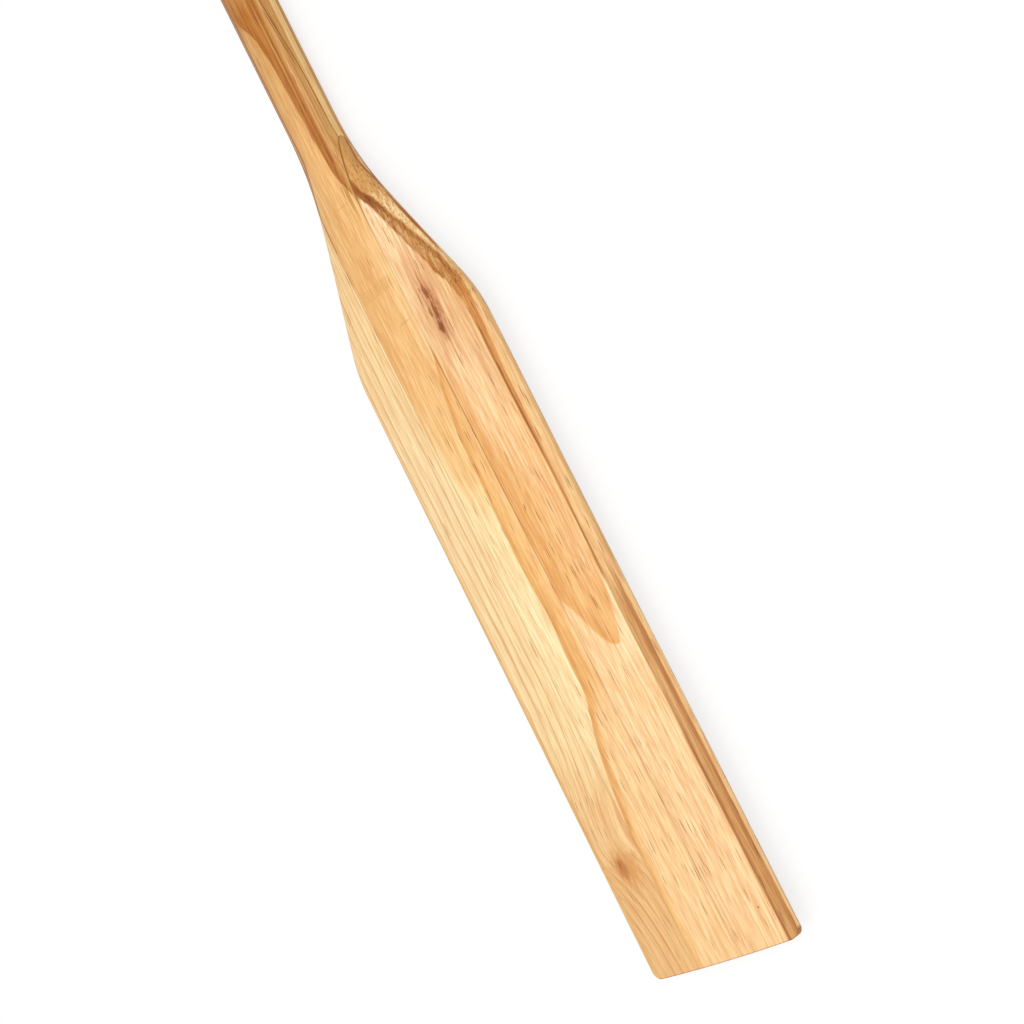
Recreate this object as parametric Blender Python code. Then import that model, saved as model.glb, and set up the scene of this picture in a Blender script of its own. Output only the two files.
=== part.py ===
"""Laminated wooden rowing oar, built as the real one is glued up and worked.

Three boards make the oar: a centre stave as long as the oar, and a wing glued along each side of
its blade end. The glued blank is worked as one body, round at the loom and the hand grip and flat
at the blade. Here one blank is lofted and then cut along the two glue lines, so the wings start as
a V on the side of the neck, as they do on the real oar.

Frame: X runs from the butt to the blade tip, Y across the blade, Z up out of the blade's face.
The origin is under the middle of the oar, at its lowest point. Lengths are in metres.
"""

import math

import bmesh
import bpy

# Whole oar, about 7 ft long
OAR_LENGTH = 2.134
GLUE_LINE = 0.0003

# Hand grip and butt
GRIP_LENGTH = 0.127
GRIP_BUTT_DIAMETER = 0.0335
GRIP_WAIST_DIAMETER = 0.0325
GRIP_SWELL_DIAMETER = 0.0355
BUTT_ROUND = 0.006
GRIP_COVE_LENGTH = 0.032

# Loom: turned parallel from the hand grip to the neck, 1 5/8 in thick
LOOM_DIAMETER = 0.0413

# Blade outline
BLADE_WIDTH = 0.151
BLADE_PARALLEL_LENGTH = 0.530
SHOULDER_TAPER_LENGTH = 0.154
NECK_BLEND_LENGTH = 0.077
SHOULDER_BLEND_LENGTH = 0.042
TIP_CORNER_RADIUS = 0.008

# Blade section
BLADE_THICKNESS_SHOULDER = 0.0357
BLADE_THICKNESS_TIP = 0.0212
CREASE_THICKNESS_SHOULDER = 0.0236
CREASE_THICKNESS_TIP = 0.0122
BEVEL_WIDTH = 0.0087
EDGE_THICKNESS = 0.0055

# How the round neck is worked into the flat blade, as distances back from the shoulder corner.
# It starts to thin where the taper of the shoulders starts.
THINNING_END = 0.010
SQUARING_START = 0.162
SQUARING_END = 0.031
NECK_CREASE_THICKNESS = 0.0384

# Boards: the stave is a little wider than the loom that is turned out of it
TURNING_ALLOWANCE = 0.0032
STAVE_WIDTH = LOOM_DIAMETER + TURNING_ALLOWANCE

# Facets of the loft
CROWN_STEPS = 6
BEVEL_STEPS = 4
CROWN_ANGLE = math.radians(40)
EDGE_ANGLE = math.radians(8)
NECK_SPACING = 0.0055
GRIP_SPACING = 0.016
COVE_STEPS = 6
ROUNDING_STEPS = 4
CORNER_STEPS = 7

# Places along the oar
BUTT_X = -OAR_LENGTH / 2
TIP_X = OAR_LENGTH / 2
GRIP_END_X = BUTT_X + GRIP_LENGTH
LOOM_START_X = GRIP_END_X + GRIP_COVE_LENGTH
SHOULDER_X = TIP_X - BLADE_PARALLEL_LENGTH
NECK_X = SHOULDER_X - SHOULDER_TAPER_LENGTH
NECK_BLEND_START_X = NECK_X - NECK_BLEND_LENGTH / 2
SHOULDER_BLEND_END_X = SHOULDER_X + SHOULDER_BLEND_LENGTH / 2

# The loom is the thickest part, so the oar lies on it at z = 0
AXIS_HEIGHT = LOOM_DIAMETER / 2

# Margins of the cutters, which reach past the blank
CUTTER_REACH = 0.12
BLANK_OVERLENGTH = 0.006
CORNER_SINK = 0.00002
MERGE_DISTANCE = 0.00001
SHARP_ANGLE = math.radians(24)

# Varnished pine, one tone for each board
PINE_HONEY = (0.86, 0.52, 0.22, 1.0)
PINE_CREAM = (0.92, 0.62, 0.30, 1.0)
PINE_TAN = (0.85, 0.47, 0.20, 1.0)
VARNISH_ROUGHNESS = 0.32


def smooth_step(start, end, x):
    """Rise from 0 at start to 1 at end, level at both ends."""
    t = min(max((x - start) / (end - start), 0.0), 1.0)
    return t * t * (3 - 2 * t)


def mix(a, b, share):
    """Go from a to b by the given share."""
    return a + (b - a) * share


def eased_ramp(x, corner, blend):
    """Height over x of a unit slope that starts at corner, with a parabola over blend there."""
    into = min(max(x - corner + blend / 2, 0.0), blend)
    return into * into / (2 * blend) + max(x - corner - blend / 2, 0.0)


def grip_radius(x):
    """Radius of the hand grip: rounded butt, low swell in the palm, then a cove up to the loom."""
    if x < BUTT_X + BUTT_ROUND:
        inward = (BUTT_X + BUTT_ROUND - x) / BUTT_ROUND
        return GRIP_BUTT_DIAMETER / 2 - BUTT_ROUND * (1 - math.sqrt(max(1 - inward * inward, 0.0)))
    if x <= GRIP_END_X:
        along = (x - BUTT_X - BUTT_ROUND) / (GRIP_LENGTH - BUTT_ROUND)
        plain = mix(GRIP_BUTT_DIAMETER, GRIP_WAIST_DIAMETER, along)
        swell = (GRIP_SWELL_DIAMETER - GRIP_WAIST_DIAMETER) * math.sin(math.pi * along) ** 2
        return (plain + swell) / 2
    rise = smooth_step(GRIP_END_X, LOOM_START_X, x)
    return mix(GRIP_WAIST_DIAMETER, LOOM_DIAMETER, rise) / 2


def half_width(x):
    """Half width of the blank: loom, eased taper of the shoulders, then the parallel blade."""
    if x < LOOM_START_X:
        return grip_radius(x)
    slope = (BLADE_WIDTH - LOOM_DIAMETER) / 2 / SHOULDER_TAPER_LENGTH
    rise = eased_ramp(x, NECK_X, NECK_BLEND_LENGTH) - eased_ramp(x, SHOULDER_X, SHOULDER_BLEND_LENGTH)
    return LOOM_DIAMETER / 2 + slope * rise


def half_thickness(x, neck, shoulder, tip):
    """Half of a thickness that thins from the neck to the shoulder, and on to the blade tip."""
    along = min(max((x - SHOULDER_X) / BLADE_PARALLEL_LENGTH, 0.0), 1.0)
    thinned = smooth_step(NECK_BLEND_START_X, SHOULDER_X - THINNING_END, x)
    return mix(neck, mix(shoulder, tip, along), thinned) / 2


def round_quarter(width, height):
    """Quarter of an ellipse, from its top to its side, on the angles that the facets share."""
    crown = [mix(math.pi / 2, CROWN_ANGLE, k / CROWN_STEPS) for k in range(CROWN_STEPS)]
    bevel = [mix(CROWN_ANGLE, EDGE_ANGLE, k / BEVEL_STEPS) for k in range(BEVEL_STEPS + 1)]
    return [(width * math.cos(a), height * math.sin(a)) for a in crown + bevel + [0.0]]


def blade_quarter(width, height, crease_height):
    """Quarter of the blade's section: crowned face, bevel, then half of the narrow edge."""
    crease = width - BEVEL_WIDTH
    points = []
    for k in range(CROWN_STEPS + 1):
        share = k / CROWN_STEPS
        points.append((crease * share, mix(height, crease_height, share * share)))
    for k in range(1, BEVEL_STEPS + 1):
        share = k / BEVEL_STEPS
        points.append((crease + BEVEL_WIDTH * share, mix(crease_height, EDGE_THICKNESS / 2, share)))
    points.append((width, 0.0))
    return points


def section(x):
    """Closed section of the blank at x, as (y, z) points around the oar's axis."""
    width = half_width(x)
    if x < NECK_BLEND_START_X:
        quarter = round_quarter(width, width)
    else:
        height = half_thickness(x, LOOM_DIAMETER, BLADE_THICKNESS_SHOULDER, BLADE_THICKNESS_TIP)
        crease = half_thickness(
            x, NECK_CREASE_THICKNESS, CREASE_THICKNESS_SHOULDER, CREASE_THICKNESS_TIP
        )
        squareness = smooth_step(SHOULDER_X - SQUARING_START, SHOULDER_X - SQUARING_END, x)
        turned = round_quarter(width, height)
        worked = blade_quarter(width, height, crease)
        quarter = [
            (mix(a[0], b[0], squareness), mix(a[1], b[1], squareness))
            for a, b in zip(turned, worked)
        ]
    upper_left = [(-y, z) for y, z in reversed(quarter[1:])]
    lower = [(y, -z) for y, z in reversed(upper_left + quarter)]
    return upper_left + quarter + lower[1:-1]


def spread(start, end, spacing):
    """Places from start up to, but not at, end, no further apart than spacing."""
    count = math.ceil((end - start) / spacing)
    return [mix(start, end, k / count) for k in range(count)]


def stations():
    """Places of the loft's sections, close together only where the shape changes."""
    rounding = [
        BUTT_X + BUTT_ROUND * (1 - math.cos(math.pi / 2 * k / ROUNDING_STEPS))
        for k in range(ROUNDING_STEPS)
    ]
    return (
        rounding
        + spread(BUTT_X + BUTT_ROUND, GRIP_END_X, GRIP_SPACING)
        + spread(GRIP_END_X, LOOM_START_X, GRIP_COVE_LENGTH / COVE_STEPS)
        + [LOOM_START_X]
        + spread(NECK_BLEND_START_X, SHOULDER_BLEND_END_X, NECK_SPACING)
        + [SHOULDER_BLEND_END_X, TIP_X, TIP_X + BLANK_OVERLENGTH]
    )


def mesh_object(name, bm):
    """Turn a bmesh into an object with its faces pointing out."""
    bmesh.ops.recalc_face_normals(bm, faces=bm.faces)
    mesh = bpy.data.meshes.new(name)
    bm.to_mesh(mesh)
    bm.free()
    obj = bpy.data.objects.new(name, mesh)
    bpy.context.scene.collection.objects.link(obj)
    return obj


def make_blank():
    """Loft the worked oar as one closed body, a little longer than the blade tip."""
    bm = bmesh.new()
    rings = []
    for x in stations():
        rings.append([bm.verts.new((x, y, z + AXIS_HEIGHT)) for y, z in section(x)])
    for near, far in zip(rings, rings[1:]):
        for k, corner in enumerate(near):
            bm.faces.new((near[k - 1], corner, far[k], far[k - 1]))
    bm.faces.new(rings[0])
    bm.faces.new(rings[-1])
    return mesh_object("blank", bm)


def wing_start():
    """Place on the neck where the worked blank grows wider than the stave."""
    x = NECK_BLEND_START_X
    while half_width(x + NECK_SPACING) < (STAVE_WIDTH - GLUE_LINE) / 2:
        x += NECK_SPACING
    return x


def make_prism(name, outline):
    """Upright prism over a plan outline, taller than the oar, used as a cutter."""
    bm = bmesh.new()
    low = [bm.verts.new((x, y, -CUTTER_REACH)) for x, y in outline]
    high = [bm.verts.new((x, y, CUTTER_REACH)) for x, y in outline]
    for k in range(len(outline)):
        bm.faces.new((low[k - 1], low[k], high[k], high[k - 1]))
    bm.faces.new(low)
    bm.faces.new(high)
    cutter = mesh_object(name, bm)
    cutter.hide_render = True
    cutter.display_type = "WIRE"
    return cutter


def stave_outline():
    """Plan of the centre stave: roomy around the loom, stave width along the blade."""
    start = wing_start()
    side = (STAVE_WIDTH - GLUE_LINE) / 2
    back = BUTT_X - CUTTER_REACH
    return [
        (back, -CUTTER_REACH), (start, -CUTTER_REACH), (start, -side), (TIP_X, -side),
        (TIP_X, side), (start, side), (start, CUTTER_REACH), (back, CUTTER_REACH),
    ]


def wing_outline(side):
    """Plan of one wing: from the glue line out, with the rounded corner of the blade tip."""
    start = wing_start()
    inner = (STAVE_WIDTH + GLUE_LINE) / 2
    centre_x = TIP_X - TIP_CORNER_RADIUS
    centre_y = BLADE_WIDTH / 2 - TIP_CORNER_RADIUS + CORNER_SINK
    points = [(start, inner), (TIP_X, inner)]
    for k in range(CORNER_STEPS + 1):
        angle = math.pi / 2 * k / CORNER_STEPS
        points.append(
            (centre_x + TIP_CORNER_RADIUS * math.cos(angle),
             centre_y + TIP_CORNER_RADIUS * math.sin(angle))
        )
    points += [(centre_x, CUTTER_REACH), (start, CUTTER_REACH)]
    return [(x, side * y) for x, y in points]


def make_board(name, blank, outline, material):
    """Cut one board of the glued oar out of the worked blank."""
    board = bpy.data.objects.new(name, blank.data.copy())
    bpy.context.scene.collection.objects.link(board)
    cutter = make_prism(name + "_cutter", outline)
    cut = board.modifiers.new("glue_faces", "BOOLEAN")
    cut.operation = "INTERSECT"
    cut.solver = "EXACT"
    cut.object = cutter
    evaluated = board.evaluated_get(bpy.context.evaluated_depsgraph_get())
    bm = bmesh.new()
    bm.from_mesh(evaluated.to_mesh())
    board.modifiers.clear()
    bpy.data.objects.remove(cutter)
    bmesh.ops.remove_doubles(bm, verts=bm.verts, dist=MERGE_DISTANCE)
    bmesh.ops.recalc_face_normals(bm, faces=bm.faces)
    for face in bm.faces:
        face.smooth = True
    for edge in bm.edges:
        edge.smooth = edge.calc_face_angle(math.pi) < SHARP_ANGLE
    bm.to_mesh(board.data)
    bm.free()
    board.data.materials.clear()
    board.data.materials.append(material)
    return board


def make_material(name, colour):
    """Clear-varnished pine in one tone."""
    material = bpy.data.materials.new(name)
    material.use_nodes = True
    shader = material.node_tree.nodes["Principled BSDF"]
    shader.inputs["Base Color"].default_value = colour
    shader.inputs["Roughness"].default_value = VARNISH_ROUGHNESS
    shader.inputs["Metallic"].default_value = 0.0
    material.diffuse_color = colour
    return material


def build_oar():
    """Empty the scene, make the blank and cut the three boards from it."""
    for obj in list(bpy.data.objects):
        bpy.data.objects.remove(obj)
    blank = make_blank()
    make_board("loom_stave", blank, stave_outline(), make_material("pine_honey", PINE_HONEY))
    make_board("left_wing", blank, wing_outline(-1), make_material("pine_cream", PINE_CREAM))
    make_board("right_wing", blank, wing_outline(1), make_material("pine_tan", PINE_TAN))
    bpy.data.objects.remove(blank)


build_oar()
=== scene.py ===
import enum
import logging
import math
from dataclasses import dataclass

import bmesh
import bpy
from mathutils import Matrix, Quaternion, Vector


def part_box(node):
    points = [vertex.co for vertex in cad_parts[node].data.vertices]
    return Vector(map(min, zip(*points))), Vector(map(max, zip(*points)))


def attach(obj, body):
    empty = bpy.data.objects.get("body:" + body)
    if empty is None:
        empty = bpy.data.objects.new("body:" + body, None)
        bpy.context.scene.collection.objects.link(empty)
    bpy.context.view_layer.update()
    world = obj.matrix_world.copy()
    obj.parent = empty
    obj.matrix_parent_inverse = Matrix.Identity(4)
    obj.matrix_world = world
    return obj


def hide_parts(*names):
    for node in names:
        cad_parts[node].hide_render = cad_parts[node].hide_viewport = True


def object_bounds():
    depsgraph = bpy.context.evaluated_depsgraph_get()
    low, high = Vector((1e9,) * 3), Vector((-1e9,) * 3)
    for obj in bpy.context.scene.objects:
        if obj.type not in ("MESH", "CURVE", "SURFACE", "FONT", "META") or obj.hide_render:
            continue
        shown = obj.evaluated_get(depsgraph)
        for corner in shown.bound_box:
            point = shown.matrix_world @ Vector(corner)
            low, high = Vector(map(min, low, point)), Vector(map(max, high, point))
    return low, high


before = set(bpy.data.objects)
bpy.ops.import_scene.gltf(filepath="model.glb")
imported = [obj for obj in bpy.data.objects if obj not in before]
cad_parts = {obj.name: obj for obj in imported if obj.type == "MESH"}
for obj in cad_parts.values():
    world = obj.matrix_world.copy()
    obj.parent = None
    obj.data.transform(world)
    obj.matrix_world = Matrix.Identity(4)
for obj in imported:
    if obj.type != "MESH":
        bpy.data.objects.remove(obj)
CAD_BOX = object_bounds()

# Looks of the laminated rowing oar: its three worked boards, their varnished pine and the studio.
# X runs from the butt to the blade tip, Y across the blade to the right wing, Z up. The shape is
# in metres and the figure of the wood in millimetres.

LOG = logging.getLogger("oar")

Point = tuple[float, float]
Tone = tuple[int, int, int]
Curve = tuple[Point, ...]
Socket = bpy.types.NodeSocket

MM = 0.001
WHITE = (1.0, 1.0, 1.0, 1.0)
NO_TONE: Tone = (0, 0, 0)
FLOOR_GAP = 0.0002

# Layers of the boards' meshes, and what the second one says far from any glue line.
ACROSS_LAYER = "across"
GLUE_LAYER = "from_glue"
NO_GLUE = 0.05

# How the varnished wood is coloured.
VARNISH_VEIL = 0.016
DARKEST_WOOD = 0.01
SHADE_PARTS = (0.35, 0.75, 1.1)

# Inputs of every effect group, the heights between which the upper face begins, in metres, and
# how far the drawn lines can lie to either side, in millimetres.
PLACE_INPUTS = ("Along", "Across", "Depth")
UPPER_FACE = (0.016, 0.024)
ACROSS_REACH = 120.0

# Values of the effects. A step has its two limits, a weight or a share its factor and what is
# added. The ripple and the drift are in metres, the comb in lengths of a zone's rise or fall.
RIPPLE_WIDTH = 0.0026
RING_RISE = (0.66, 0.95)
RING_FALL = (1.0, 0.965)
RING_WEIGHT = (0.65, 0.35)
SWELL_STEP = (0.30, 0.62)
SWELL_SHARE = (0.75, 0.25)
FINE_STEP = (0.33, 0.67)
STREAK_STEP = (0.30, 0.70)
DASH_STEP = (0.32, 0.18)
CANAL_CHANCE = 0.6
CANAL_KEPT = (1.20, 1.28)
CANAL_STRENGTH = 0.9
COMB_REACH = 3.0
BARE_STEP = (0.40, 0.62)
SPOT_STEP = (1.0, 0.25)
DRIFT_REACH = 0.08


def mix(a: float, b: float, share: float) -> float:
    """Go from a to b by the given share."""
    return a + (b - a) * share


def ease(start: float, end: float, x: float) -> float:
    """Rise from 0 at start to 1 at end, level at both ends."""
    t = min(max((x - start) / (end - start), 0.0), 1.0)
    return t * t * (3 - 2 * t)


def eased_ramp(x: float, corner: float, blend: float) -> float:
    """Height over x of a unit slope that starts at corner, with a parabola over blend there."""
    into = min(max(x - corner + blend / 2, 0.0), blend)
    return into * into / (2 * blend) + max(x - corner - blend / 2, 0.0)


def evenly(start: float, end: float, count: int) -> list[float]:
    """So many even places from start up to, but not at, end."""
    return [mix(start, end, k / count) for k in range(count)]


def spread(start: float, end: float, spacing: float) -> list[float]:
    """Places from start up to, but not at, end, no further apart than spacing."""
    return evenly(start, end, math.ceil((end - start) / spacing))


def wood(tone: Tone) -> tuple[float, float, float, float]:
    """Colour of the bare wood for a tone of 0 to 255 that is seen through glossy varnish."""
    shares = [part / 255 for part in tone]
    parts = [s / 12.92 if s <= 0.04045 else ((s + 0.055) / 1.055) ** 2.4 for s in shares]
    parts = [max(part - VARNISH_VEIL, DARKEST_WOOD) for part in parts]
    return (parts[0], parts[1], parts[2], 1.0)


def linked(name: str, data: bpy.types.ID) -> bpy.types.Object:
    """Make an object of the data and link it to the scene."""
    made = bpy.data.objects.new(name, data)
    bpy.context.scene.collection.objects.link(made)
    return made


class Board(enum.Enum):
    """The three boards of the oar, by the side of the glue lines that they lie on."""

    STAVE = 0
    LEFT = -1
    RIGHT = 1


@dataclass(frozen=True)
class WorkedBlank:
    """Shape of the glued blank after turning and planing, which all three boards share.

    The ends, the loom's thickness and the blade's width come from the frame's box.
    """

    butt_x: float
    tip_x: float
    loom_radius: float
    half_blade: float
    grip_length: float = 0.127
    grip_butt: float = 0.0335
    grip_waist: float = 0.0325
    grip_swell: float = 0.0355
    butt_round: float = 0.006
    cove_length: float = 0.032
    blade_length: float = 0.530
    taper_length: float = 0.154
    neck_blend: float = 0.077
    shoulder_blend: float = 0.042
    face_shoulder: float = 0.0357
    face_tip: float = 0.0212
    crease_neck: float = 0.0384
    crease_shoulder: float = 0.0236
    crease_tip: float = 0.0122
    bevel_width: float = 0.0087
    edge_thickness: float = 0.0055
    crease_round: float = 0.0014
    arris_round: float = 0.0008
    thinning_end: float = 0.010
    squaring: Point = (0.162, 0.031)
    arcs: tuple[float, ...] = (90.0, 43.0, 37.0, 12.0, 8.0)
    crown_columns: int = 18
    bevel_columns: int = 5
    round_columns: int = 3

    @property
    def shoulder_x(self) -> float:
        """Place of the shoulder, where the parallel blade begins."""
        return self.tip_x - self.blade_length

    @property
    def neck_x(self) -> float:
        """Place where the taper of the shoulders begins."""
        return self.shoulder_x - self.taper_length

    @property
    def neck_blend_x(self) -> float:
        """Place where the loom stops being parallel."""
        return self.neck_x - self.neck_blend / 2

    @property
    def grip_end_x(self) -> float:
        """Place where the hand grip ends and its cove begins."""
        return self.butt_x + self.grip_length

    @property
    def loom_start_x(self) -> float:
        """Place where the cove has reached the loom."""
        return self.grip_end_x + self.cove_length

    def grip_radius(self, x: float) -> float:
        """Radius of the hand grip: rounded butt, low swell in the palm, cove up to the loom."""
        if x < self.butt_x + self.butt_round:
            inward = (self.butt_x + self.butt_round - x) / self.butt_round
            rounding = self.butt_round * (1 - math.sqrt(max(1 - inward * inward, 0.0)))
            return self.grip_butt / 2 - rounding
        if x <= self.grip_end_x:
            along = (x - self.butt_x - self.butt_round) / (self.grip_length - self.butt_round)
            plain = mix(self.grip_butt, self.grip_waist, along)
            swell = (self.grip_swell - self.grip_waist) * math.sin(math.pi * along) ** 2
            return (plain + swell) / 2
        cove = ease(self.grip_end_x, self.loom_start_x, x)
        return mix(self.grip_waist / 2, self.loom_radius, cove)

    def half_width(self, x: float) -> float:
        """Half width of the blank: grip, loom, eased taper of the shoulders, parallel blade."""
        if x < self.loom_start_x:
            return self.grip_radius(x)
        slope = (self.half_blade - self.loom_radius) / self.taper_length
        rise = eased_ramp(x, self.neck_x, self.neck_blend)
        rise -= eased_ramp(x, self.shoulder_x, self.shoulder_blend)
        return self.loom_radius + slope * rise

    def half_thickness(self, x: float, neck: float, shoulder: float, tip: float) -> float:
        """Half of a thickness that thins from the neck to the shoulder, and on to the tip."""
        along = min(max((x - self.shoulder_x) / self.blade_length, 0.0), 1.0)
        thinned = ease(self.neck_blend_x, self.shoulder_x - self.thinning_end, x)
        return mix(neck, mix(shoulder, tip, along), thinned) / 2

    def turned(self, width: float, height: float) -> list[Point]:
        """Quarter of the turned section, on as many columns as the worked one."""
        counts = (self.crown_columns, self.round_columns, self.bevel_columns, self.round_columns)
        angles = [a for arc in zip(self.arcs, self.arcs[1:], counts) for a in evenly(*arc)]
        turns = [math.radians(angle) for angle in angles + [self.arcs[-1], 0.0]]
        return [(width * math.cos(a), height * math.sin(a)) for a in turns]

    def worked(self, width: float, height: float, crease_height: float) -> list[Point]:
        """Quarter of the blade's section: crowned face, eased crease, bevel, eased narrow edge."""
        crease = width - self.bevel_width
        inner, outer = crease - self.crease_round, crease + self.crease_round
        slope = (crease_height - self.edge_thickness / 2) / self.bevel_width

        def crown(y: float) -> float:
            return height - (height - crease_height) * (y / crease) ** 2

        def bevel(y: float) -> float:
            return crease_height - slope * (y - crease)

        before, after = crown(inner), bevel(outer)
        points = [(y, crown(y)) for y in evenly(0.0, inner, self.crown_columns)]
        for t in evenly(0.0, 1.0, self.round_columns):
            z = (1 - t) ** 2 * before + 2 * t * (1 - t) * crease_height + t * t * after
            points.append((mix(inner, outer, t), z))
        side = width - self.arris_round
        points += [(y, bevel(y)) for y in evenly(outer, side, self.bevel_columns)]
        for t in evenly(0.0, 1.0, self.round_columns) + [1.0]:
            y = width - self.arris_round * (1 - t)
            points.append((y, bevel(y) - self.arris_round * t * t))
        return points + [(width, 0.0)]

    def quarter(self, x: float) -> list[Point]:
        """Quarter of the section at x, as (y, z) from the centre line out to the side."""
        width = self.half_width(x)
        if x < self.neck_blend_x:
            return self.turned(width, width)
        loom = 2 * self.loom_radius
        height = self.half_thickness(x, loom, self.face_shoulder, self.face_tip)
        crease = self.half_thickness(x, self.crease_neck, self.crease_shoulder, self.crease_tip)
        square = ease(self.shoulder_x - self.squaring[0], self.shoulder_x - self.squaring[1], x)
        pairs = zip(self.turned(width, height), self.worked(width, height, crease))
        return [(mix(a[0], b[0], square), mix(a[1], b[1], square)) for a, b in pairs]


@dataclass(frozen=True)
class Column:
    """One place on a board's section: half width, height and lengths across the surface."""

    y: float
    z: float
    across: float
    from_glue: float


@dataclass(frozen=True)
class BoardLoft:
    """Builds the fine mesh of one board: the worked blank between two glue lines."""

    blank: WorkedBlank
    glue_half: float
    seam: float = 0.00004
    neck_spacing: float = 0.0016
    grip_spacing: float = 0.004
    loom_spacing: float = 0.08
    blade_spacing: float = 0.020
    fine_spacing: float = 0.002
    tip_zone: float = 0.020
    start_steps: int = 8
    butt_steps: int = 10
    halvings: int = 40
    under_reach: float = 0.008
    under_end: float = 0.080
    corner_radius: float = 0.008
    end_round: float = 0.0009
    round_steps: int = 6
    merge: float = 0.000012
    sharp_angle: float = 38.0

    def wing_start(self) -> float:
        """Place on the neck where the blank grows wider than the stave, found by halving."""
        low = self.blank.neck_blend_x
        high = self.blank.shoulder_x
        for _ in range(self.halvings):
            middle = (low + high) / 2
            if self.blank.half_width(middle) < self.glue_half + self.seam / 2:
                low = middle
            else:
                high = middle
        return high

    def stations(self, board: Board) -> list[float]:
        """Places of the board's sections, close together where the shape changes."""
        blank = self.blank
        start = self.wing_start()
        blade_start = blank.shoulder_x + blank.shoulder_blend / 2
        neck = spread(start, blade_start, self.neck_spacing)
        steps = self.start_steps
        close = [start + self.neck_spacing * (k / steps) ** 2 for k in range(1, steps)]
        tip_start = blank.tip_x - self.tip_zone
        blade = spread(blade_start, tip_start, self.blade_spacing)
        tip = spread(tip_start, blank.tip_x - self.end_round, self.fine_spacing)
        ends = neck[:1] + close + neck[1:] + blade + tip + [blank.tip_x - self.end_round]
        if board is not Board.STAVE:
            return ends
        turns = evenly(0.0, math.pi / 2, self.butt_steps)
        rounded = [blank.butt_x + blank.butt_round * (1 - math.cos(turn)) for turn in turns]
        return (
            rounded
            + spread(blank.butt_x + blank.butt_round, blank.grip_end_x, self.grip_spacing)
            + spread(blank.grip_end_x, blank.loom_start_x, self.fine_spacing)
            + spread(blank.loom_start_x, blank.neck_blend_x, self.loom_spacing)
            + spread(blank.neck_blend_x, start, self.neck_spacing)
            + ends
        )

    def columns(self, board: Board, x: float) -> list[Column]:
        """Upper half of one side of the board's section at x, cut off at the glue line."""
        points = self.blank.quarter(x)
        lengths = [0.0]
        for near, far in zip(points, points[1:]):
            lengths.append(lengths[-1] + math.dist(near, far))
        side = self.glue_half + (self.seam if board is not Board.STAVE else -self.seam) / 2
        corner = Column(points[-1][0], 0.0, lengths[-1], NO_GLUE)
        for k, (near, far) in enumerate(zip(points, points[1:])):
            if near[0] <= side < far[0]:
                share = (side - near[0]) / (far[0] - near[0])
                height = mix(near[1], far[1], share)
                corner = Column(side, height, mix(lengths[k], lengths[k + 1], share), 0.0)
        found = []
        for (y, z), length in zip(points, lengths):
            own = y < corner.y if board is Board.STAVE else y > corner.y
            beyond = board is not Board.STAVE and corner.z == 0.0
            off = NO_GLUE if corner.from_glue else abs(length - corner.across)
            found.append(Column(y, z, length, off) if own and not beyond else corner)
        if board is Board.STAVE:
            found.append(Column(corner.y, 0.0, corner.across, NO_GLUE))
        return found

    def outline_end(self, y: float) -> float:
        """Place of the blade's end at a distance y from the axis, with its rounded corner."""
        radius = self.corner_radius
        over = min(max(y - (self.blank.half_blade - radius), 0.0), radius)
        return self.blank.tip_x - radius + math.sqrt(radius ** 2 - over ** 2)

    def placed(self, x: float, column: Column, turn: float) -> tuple[float, float, float]:
        """Move a column's point to the blade's outline end and around the end's eased arris.

        Args:
            x: Place of the section.
            column: The point of the section.
            turn: Angle around the eased arris, 0 before it and a right angle on the end face.

        Returns:
            Place along the oar, distance from the axis and height over it.
        """
        start = self.blank.tip_x - self.tip_zone
        along = max(x - start, 0.0) / (self.blank.tip_x - start)
        place = x - along * (self.blank.tip_x - self.outline_end(column.y))
        drop = self.end_round * (1 - math.cos(turn))
        height = column.z * (1 - drop / max(column.z, 2 * self.end_round))
        return place + self.end_round * math.sin(turn), column.y, height

    def under(self, x: float, across: float) -> float:
        """Length across for a place on the underside, by the length on the upper side above it.

        On the loom and the neck the figure runs on a little below the widest place. From there,
        and everywhere under the blade, it goes back to the centre line.
        """
        points = self.blank.quarter(x)
        side = sum(math.dist(near, far) for near, far in zip(points, points[1:]))
        end = self.blank.shoulder_x - self.under_end
        reach = self.under_reach * (1 - ease(self.blank.neck_blend_x, end, x))
        below = side - across
        if below < reach:
            return side + below
        return (side + reach) * (side - below) / (side - reach)

    def rings(self, board: Board) -> list[list[tuple[Vector, float, float]]]:
        """All sections of the board as closed rings of places with their lengths across."""
        turns = [(x, 0.0) for x in self.stations(board)]
        last, arris = turns[-1][0], evenly(0.0, math.pi / 2, self.round_steps)
        turns += [(last, turn) for turn in arris[1:] + [math.pi / 2]]
        sign = -1 if board is Board.LEFT else 1
        rings = []
        for x, turn in turns:
            half = []
            for column in self.columns(board, x):
                along, y, z = self.placed(x, column, turn)
                half.append((along, sign * y, z, sign * column.across, column.from_glue))
            half += [
                (along, y, -z, sign * self.under(x, abs(s)), off)
                for along, y, z, s, off in reversed(half[:-1])
            ]
            if board is Board.STAVE:
                half += [(along, -y, z, -s, off) for along, y, z, s, off in reversed(half[1:-1])]
            height = self.blank.loom_radius
            rings.append([(Vector((a, y, height + z)), s, off) for a, y, z, s, off in half])
        return rings

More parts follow.
